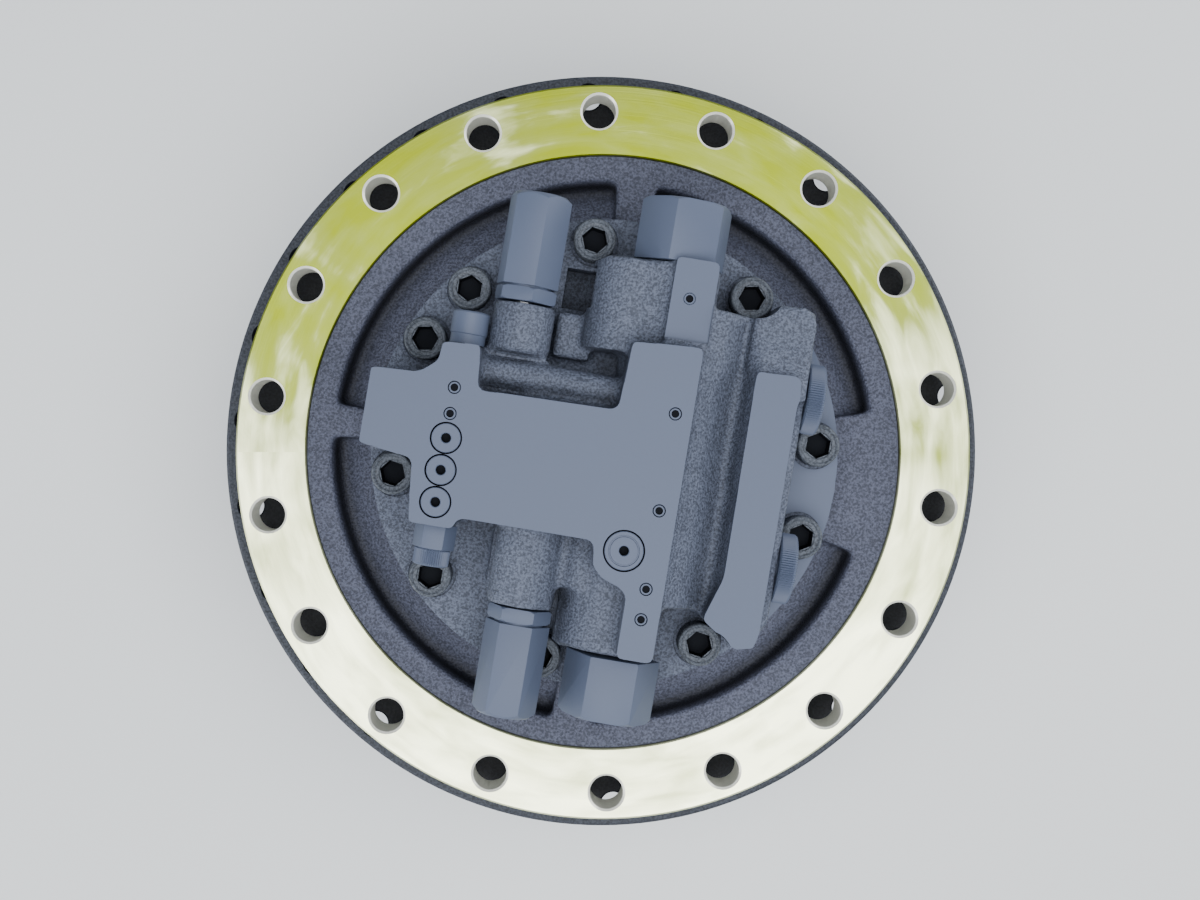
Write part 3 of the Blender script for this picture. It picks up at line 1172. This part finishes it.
def spring(name, matrix, radius, wire, ends, turns, parent):
    """Coil spring: a square wire on a helix along the matrix's Z axis."""
    bm = bmesh.new()
    low, high = ends
    count = SPRING_STEPS * turns
    rise = (high - low - wire) / count
    section = [(radius - wire / 2, low), (radius + wire / 2, low),
               (radius + wire / 2, low + wire), (radius - wire / 2, low + wire)]
    verts = [bm.verts.new((r, 0.0, z)) for r, z in section]
    face = bm.faces.new(verts)
    made = bmesh.ops.spin(bm, geom=[face] + list(face.edges) + verts, cent=(0, 0, 0), axis=(0, 0, 1),
                          dvec=(0, 0, rise), angle=2 * math.pi * turns, steps=count)
    del made
    bmesh.ops.transform(bm, matrix=matrix, verts=bm.verts)
    return place(finish(name, bm, spring_steel()), parent)


def counterbalance_spring(name, side, parent):
    ends = sorted((side * (CB_SHOULDER + FIT), side * (CB_BODY_TOP - FIT)))
    return spring(name, along_v(*CB_AXIS), CB_SPRING_RADIUS, CB_SPRING_WIRE, ends, 3, parent)


def relief_frame(side):
    """Matrix of a relief valve, its Z axis pointing out of the casting, and the seat's height."""
    if side > 0:
        return along_v(RELIEF_UPPER_U, RELIEF_H), RELIEF_UPPER_SEAT
    return along_v(RELIEF_LOWER_U, RELIEF_H) @ outward(side), -RELIEF_LOWER_SEAT


def relief_cap(name, side, parent):
    """Relief valve cap: lock nut at the casting, turned neck, long hollow hexagon body."""
    matrix, seat = relief_frame(side)
    bm = bmesh.new()
    hexagon(bm, RELIEF_FLATS - 1, seat + FIT, seat + RELIEF_NUT, matrix)
    cap = finish(name, bm, grey_paint())
    bm = bmesh.new()
    rod(bm, RELIEF_NECK_RADIUS, seat + RELIEF_NUT - 1, seat + RELIEF_NECK + 1, PIN_SIDES, matrix)
    boolean(cap, finish("neck", bm, grey_paint()), "UNION")
    bm = bmesh.new()
    hexagon(bm, RELIEF_FLATS, seat + RELIEF_NECK, seat + RELIEF_CAP_LENGTH, matrix, PLUG_CONE)
    boolean(cap, finish("body", bm, grey_paint()), "UNION")
    cut_rods(cap, [(RELIEF_HOLLOW, seat - PAST, seat + RELIEF_HOLLOW_DEPTH, HOLE_SIDES, matrix)])
    return place(cap, parent)


def relief_poppet(name, side, parent):
    matrix, seat = relief_frame(side)
    bm = bmesh.new()
    tip = seat - RELIEF_BORE_DEPTH + FIT
    shoulder = seat - RELIEF_TRAVEL - POPPET_STEM
    profile = [(0, tip), (POPPET_RADIUS / 2, tip), (POPPET_RADIUS, tip + POPPET_RADIUS),
               (POPPET_RADIUS, shoulder), (POPPET_STEM_RADIUS, shoulder),
               (POPPET_STEM_RADIUS, seat + POPPET_HEAD), (0, seat + POPPET_HEAD)]
    spun(bm, profile, SMALL_SIDES, matrix)
    return place(smooth(finish(name, bm, gear_steel())), parent)


def relief_spring(name, side, parent):
    matrix, seat = relief_frame(side)
    ends = (seat + POPPET_HEAD + FIT, seat + RELIEF_HOLLOW_DEPTH - FIT)
    return spring(name, matrix, RELIEF_SPRING_RADIUS, RELIEF_SPRING_WIRE, ends, 4, parent)


def two_speed_spool(parent):
    low, high = TS_LOWER_SEAT + TS_SPRING_LENGTH, TS_UPPER_SEAT - FIT
    groove = TS_GROOVE / 2
    profile = [(0, low), (TS_SPOOL_RADIUS, low), (TS_SPOOL_RADIUS, -groove), (TS_NECK_RADIUS, -groove),
               (TS_NECK_RADIUS, groove), (TS_SPOOL_RADIUS, groove), (TS_SPOOL_RADIUS, high), (0, high)]
    bm = bmesh.new()
    spun(bm, profile, SMALL_SIDES, along_v(*TS_AXIS))
    return place(smooth(finish("two_speed_spool", bm, machined_steel())), parent)


def two_speed_spring(parent):
    ends = (TS_LOWER_SEAT + FIT, TS_LOWER_SEAT + TS_SPRING_LENGTH - FIT)
    return spring("two_speed_spring", along_v(*TS_AXIS), TS_SPRING_RADIUS, TS_SPRING_WIRE, ends, 3, parent)


def upper_two_speed_plug(parent):
    bm = bmesh.new()
    rod(bm, TS_PLUG_RADIUS, TS_UPPER_SEAT + FIT, TS_UPPER_SEAT + TS_PLUG_LENGTH, PIN_SIDES,
        along_v(*TS_AXIS))
    return place(smooth(finish("upper_two_speed_plug", bm, grey_paint())), parent)


def lower_two_speed_plug(parent):
    bm = bmesh.new()
    hexagon(bm, TS_PLUG_FLATS, TS_LOWER_SEAT - TS_HEX_LENGTH, TS_LOWER_SEAT - FIT, along_v(*TS_AXIS))
    return place(finish("lower_two_speed_plug", bm, grey_paint()), parent)


def face_plug(index, parent):
    u, v, radius = FACE_PLUGS[index]
    bm = bmesh.new()
    rod(bm, radius, BLOCK_TOP - FACE_PLUG_DEPTH + FIT, BLOCK_TOP, PIN_SIDES, Matrix.Translation((u, v, 0)))
    return place(smooth(finish("face_plug_%d" % (index + 1), bm, grey_paint())), parent)


def port_cap(name, v, parent):
    """Round transport cap with a stem in its port."""
    stem = PORT_BORE_RADIUS - FIT
    far = PORT_FACE_U + PORT_CAP_THICKNESS
    bm = bmesh.new()
    near = PORT_FACE_U - PORT_CAP_STEM
    profile = [(0, near), (stem, near), (stem, PORT_FACE_U + FIT),
               (PORT_CAP_RADIUS, PORT_FACE_U + FIT), (PORT_CAP_RADIUS, far), (0, far)]
    spun(bm, profile, MID_SIDES, along_u(v, PORT_H))
    return place(smooth(finish(name, bm, grey_paint())), parent)


# The whole drive

def build_fixed(root):
    motor_housing(root)
    inner_ring("upper_bearing_inner_ring", UPPER_BEARING_Z, 1, root)
    inner_ring("lower_bearing_inner_ring", LOWER_BEARING_Z, -1, root)
    bearing_nut(root)
    seal_ring("fixed_seal_ring", 1, root)
    toric_ring("fixed_seal_rubber", 1, root)
    second_carrier(root)
    swash_plate(root)
    valve_plate(root)
    shaft_bearings(root)
    shaft_seal(root)
    brake_ring("brake_steel_plate", brake_stack()[1], BLOCK_RADIUS + SEAL_GAP, BRAKE_BORE - FIT,
               machined_steel(), root)
    brake_spring(root)
    brake_piston(root)


def build_hub():
    turning = empty("hub_axis")
    hub(turning)
    end_cover(turning)
    oil_plug("fill_plug", OIL_PLUG_PLACES[0], turning)
    oil_plug("drain_plug", OIL_PLUG_PLACES[1], turning)
    outer_ring("upper_bearing_outer_ring", UPPER_BEARING_Z, 1, turning)
    outer_ring("lower_bearing_outer_ring", LOWER_BEARING_Z, -1, turning)
    seal_ring("turning_seal_ring", -1, turning)
    toric_ring("turning_seal_rubber", -1, turning)
    roller_set("upper_bearing_rollers", UPPER_BEARING_Z, 1, empty("upper_roller_axis"))
    roller_set("lower_bearing_rollers", LOWER_BEARING_Z, -1, empty("lower_roller_axis"))


def build_gearbox():
    carrier = empty("first_carrier_axis")
    first_carrier(carrier)
    second_sun(carrier)
    for index in range(PLANET_COUNT):
        first_planet(index, carrier)
        second_planet(index, None)


def build_motor():
    shaft = empty("shaft_axis")
    drive_shaft(shaft)
    cylinder_block(shaft)
    slipper_shoes(shaft)
    brake_ring("brake_friction_disc", brake_stack()[0], BLOCK_RADIUS + FIT, BRAKE_BORE - SEAL_GAP,
               bronze(), shaft)
    first_sun(shaft)


def build_valves(root):
    block = empty("valve_block_frame", (0, 0, RING_FACE_Z), BLOCK_TURN_ANGLE, root)
    rear_cover(block)
    counterbalance_plug("upper_counterbalance_plug", 1, block)
    counterbalance_plug("lower_counterbalance_plug", -1, block)
    counterbalance_spool(block)
    counterbalance_spring("upper_counterbalance_spring", 1, block)
    counterbalance_spring("lower_counterbalance_spring", -1, block)
    relief_cap("upper_relief_cap", 1, block)
    relief_cap("lower_relief_cap", -1, block)
    relief_poppet("upper_relief_poppet", 1, block)
    relief_poppet("lower_relief_poppet", -1, block)
    relief_spring("upper_relief_spring", 1, block)
    relief_spring("lower_relief_spring", -1, block)
    two_speed_spool(block)
    two_speed_spring(block)
    upper_two_speed_plug(block)
    lower_two_speed_plug(block)
    for index in range(len(FACE_PLUGS)):
        face_plug(index, block)
    port_cap("upper_port_cap", PORT_V[0], block)
    port_cap("lower_port_cap", PORT_V[1], block)


def main():
    clear_scene()
    root = empty("drive_frame")
    build_fixed(root)
    build_hub()
    build_gearbox()
    build_motor()
    build_valves(root)


main()
